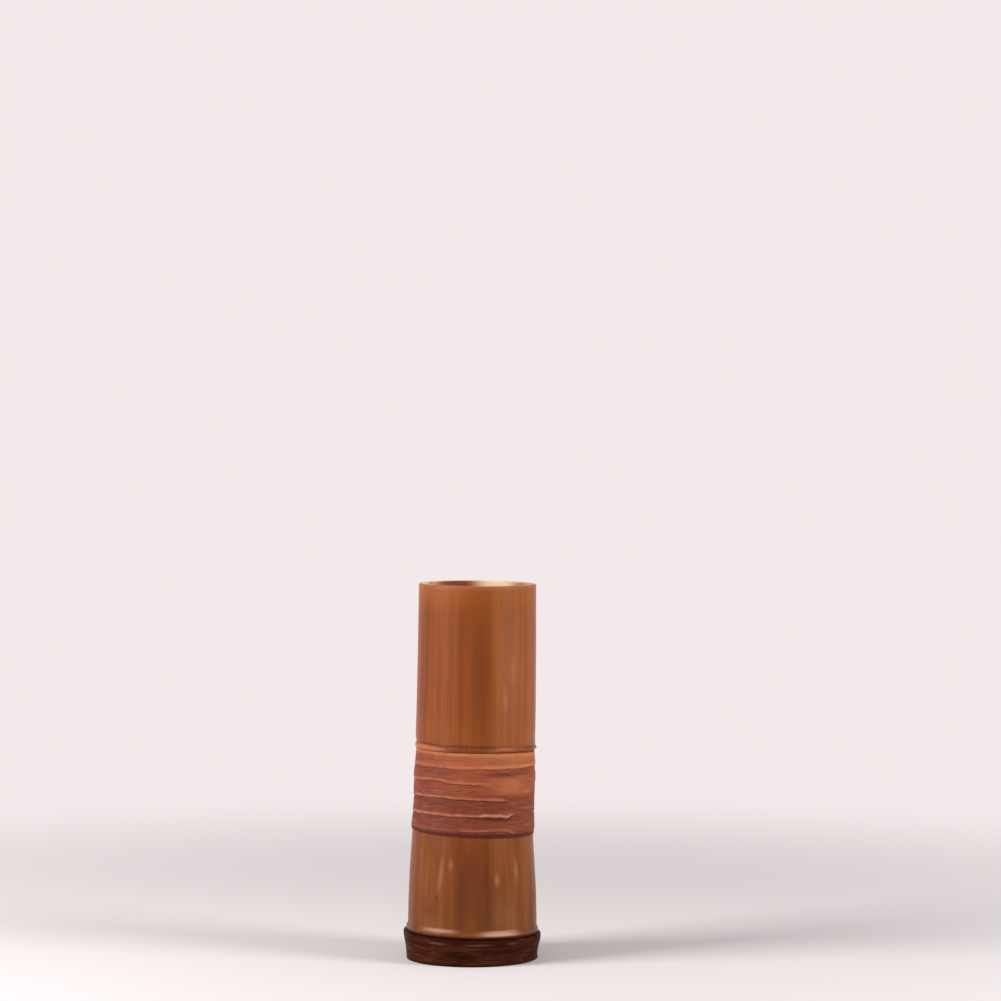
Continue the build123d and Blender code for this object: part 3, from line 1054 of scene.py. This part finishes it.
def buildBark():
    start, end = bark["travel"]
    longStep = bark["step"] * bark["divide"]
    # the sweep's lift tells the rings apart; its long steps are divided afterwards
    lift = 1.0
    bm = bmesh.new()
    across, low = stripWire(bm)
    corners = len(bm.verts)
    bmesh.ops.spin(bm, geom=bm.verts[:] + bm.edges[:], cent=(0, 0, 0), axis=(0, 0, 1), dvec=(0, 0, lift),
                   angle=math.radians(end - start), steps=int((end - start) / longStep), use_merge=False,
                   use_normal_flip=False)
    along = [edge for edge in bm.edges if abs(edge.verts[0].co.z - edge.verts[1].co.z) > lift / 2]
    bmesh.ops.subdivide_edges(bm, edges=along, cuts=bark["divide"] - 1)
    ends = [edge for edge in bm.edges if edge.is_boundary]
    bmesh.ops.holes_fill(bm, edges=ends, sides=corners)
    tone = bm.verts.layers.float.new("barkTone")
    torn = bm.verts.layers.float.new("tornEdgeAndHighlight")
    tucked = bm.verts.layers.float.new("tuckedShade")
    stainAndShade = bm.verts.layers.float.new("stainAndShade")
    for vert in bm.verts:
        share = vert[across]
        spot = spotOn(start + (vert.co.z - vert[low]) / lift * longStep, share)
        out = thickness(spot) if 0 <= share <= 1 else 0
        vert.co = polar(innerRadius(spot["level"]) + out, spot["azimuth"], spot["level"])
        vert[tone] = toneAt(spot)
        vert[torn] = tornAndHighlightAt(spot)
        vert[tucked] = shadeAt(spot)
        vert[stainAndShade] = patchAt(spot, bark["stains"])
    bmesh.ops.recalc_face_normals(bm, faces=bm.faces)
    leanOver(bm)
    return finishPiece("barkBand", bm, [barkStrip()], "bark_wrap")


# the turned foot

foot = {
    "segments": 256,
    "step": 1.1,
    # over the spigot, down the side to the underside: radius, level, rounding
    "corners": ((0, 20.0, 0), (23.0, 20.0, 0.4), (23.0, 14.5, 0), (36.7, 14.5, 0.3), (36.83, 12.8, 0.8),
                (36.55, 10.8, 0), (36.3, 9.7, 0), (35.8, 7.6, 1.5), (35.42, 5.4, 1.2), (35.22, 3.4, 0.6),
                (35.1, 2.7, 0.15), (34.9, 2.5, 0.1), (35.2, 2.2, 0.2), (35.2, 0, 0.5), (0, 0, 0)),
    # only what lies above the base leans, so that the underside stays level on the table
    "leansFrom": (0.4, 3.0),
}


def buildFoot():
    bm = latheProfile(foot["corners"], foot["step"])
    turnRound(bm, foot["segments"])
    tiltOver(bm)
    for vert in bm.verts:
        leaned = leanMatrix @ vert.co
        vert.co = vert.co.lerp(leaned, smooth(*foot["leansFrom"], vert.co.z / mm))
    return finishPiece("turnedFoot", bm, [darkStain()], "foot")


# floor, lamps and camera

studio = {
    "background": paint(243, 233, 234),
    "floor": paint(222, 214, 214),
    "white": (1, 1, 1, 1),
    "worldLevel": 0.36,
    # metres from the vase at which the floor starts and ends to fade into the background
    "clearRadius": 0.22,
    "fadeRadius": 0.75,
    "floorRadius": 14.0,
    "floorSides": 128,
    # name, azimuth about the vase, elevation, distance, width, height, radiance
    "boxes": (("softboxLeft", -157, 28, 1.05, 0.46, 0.74, 12.0),
              ("softboxRight", -26, 28, 1.05, 0.34, 0.70, 10.0)),
    "aim": 0.1,
}


def seenDirectly(tree):
    rays = add(tree, "ShaderNodeLightPath").outputs
    first = times(tree, rays["Is Camera Ray"], rays["Is Glossy Ray"], "MAXIMUM")
    return times(tree, first, rays["Is Transmission Ray"], "MAXIMUM")


def buildStage():
    bm = bmesh.new()
    bmesh.ops.create_circle(bm, cap_ends=True, segments=studio["floorSides"], radius=studio["floorRadius"])
    material = bpy.data.materials.new("paleFloor")
    material.use_nodes = True
    tree = material.node_tree
    tree.nodes.clear()
    coords = add(tree, "ShaderNodeTexCoord").outputs["Object"]
    fade = between(tree, lengthOf(tree, coords), studio["clearRadius"], studio["fadeRadius"])
    matte = add(tree, "ShaderNodeBsdfDiffuse", {"Color": studio["floor"]}).outputs["BSDF"]
    far = add(tree, "ShaderNodeEmission", {"Color": studio["background"], "Strength": 1.0})
    surface = add(tree, "ShaderNodeMixShader", {0: times(tree, fade, seenDirectly(tree)), 1: matte,
                  2: far.outputs["Emission"]})
    add(tree, "ShaderNodeOutputMaterial", {"Surface": surface.outputs["Shader"]})
    floor = meshed("paleFloor", bm, [material])


def buildLight():
    world = bpy.data.worlds.new("studioWorld")
    bpy.context.scene.world = world
    world.use_nodes = True
    tree = world.node_tree
    tree.nodes.clear()
    fill = add(tree, "ShaderNodeBackground", {"Color": studio["white"], "Strength": studio["worldLevel"]})
    seen = add(tree, "ShaderNodeBackground", {"Color": studio["background"], "Strength": 1.0})
    surface = add(tree, "ShaderNodeMixShader", {0: seenDirectly(tree), 1: fill.outputs["Background"],
                  2: seen.outputs["Background"]})
    add(tree, "ShaderNodeOutputWorld", {"Surface": surface.outputs["Shader"]})
    aim = Vector((0, 0, studio["aim"]))
    for name, azimuth, elevation, distance, width, height, radiance in studio["boxes"]:
        lamp = bpy.data.lights.new(name, "AREA")
        lamp.shape = "RECTANGLE"
        lamp.size = width
        lamp.size_y = height
        lamp.energy = radiance * math.pi * width * height
        box = linked(name, lamp)
        a, e = math.radians(azimuth), math.radians(elevation)
        away = Vector((math.cos(a) * math.cos(e), math.sin(a) * math.cos(e), math.sin(e)))
        box.location = aim + away * distance
        box.rotation_euler = away.to_track_quat("Z", "Y").to_euler()


view = {
    # metres in front of the vase's axis, above the table and to the right, and degrees down
    "distance": 2.15,
    "height": 0.345,
    "sideways": 0.01517,
    "pitch": 2.6864,
    "focalPixels": 4050.6,
    "framePixels": 1001,
    "sensor": 36,
    "nearest": 0.05,
    "farthest": 60,
}


def buildCamera():
    data = bpy.data.cameras.new("photoCamera")
    data.sensor_width = view["sensor"]
    data.lens = view["sensor"] * view["focalPixels"] / view["framePixels"]
    data.clip_start = view["nearest"]
    data.clip_end = view["farthest"]
    camera = linked("photoCamera", data)
    camera.location = (view["sideways"], -view["distance"], view["height"])
    camera.rotation_euler = (math.radians(90 - view["pitch"]), 0, 0)
    bpy.context.scene.camera = camera


bpy.context.scene.view_settings.view_transform = "Standard"
buildCamera()
buildLight()
buildStage()
print("camera, light and floor are set")
piece = buildCulm()
print("culm turned,", len(piece.data.polygons), "faces")
piece = buildBark()
print("bark wound,", len(piece.data.polygons), "faces")
piece = buildFoot()
print("foot turned,", len(piece.data.polygons), "faces")
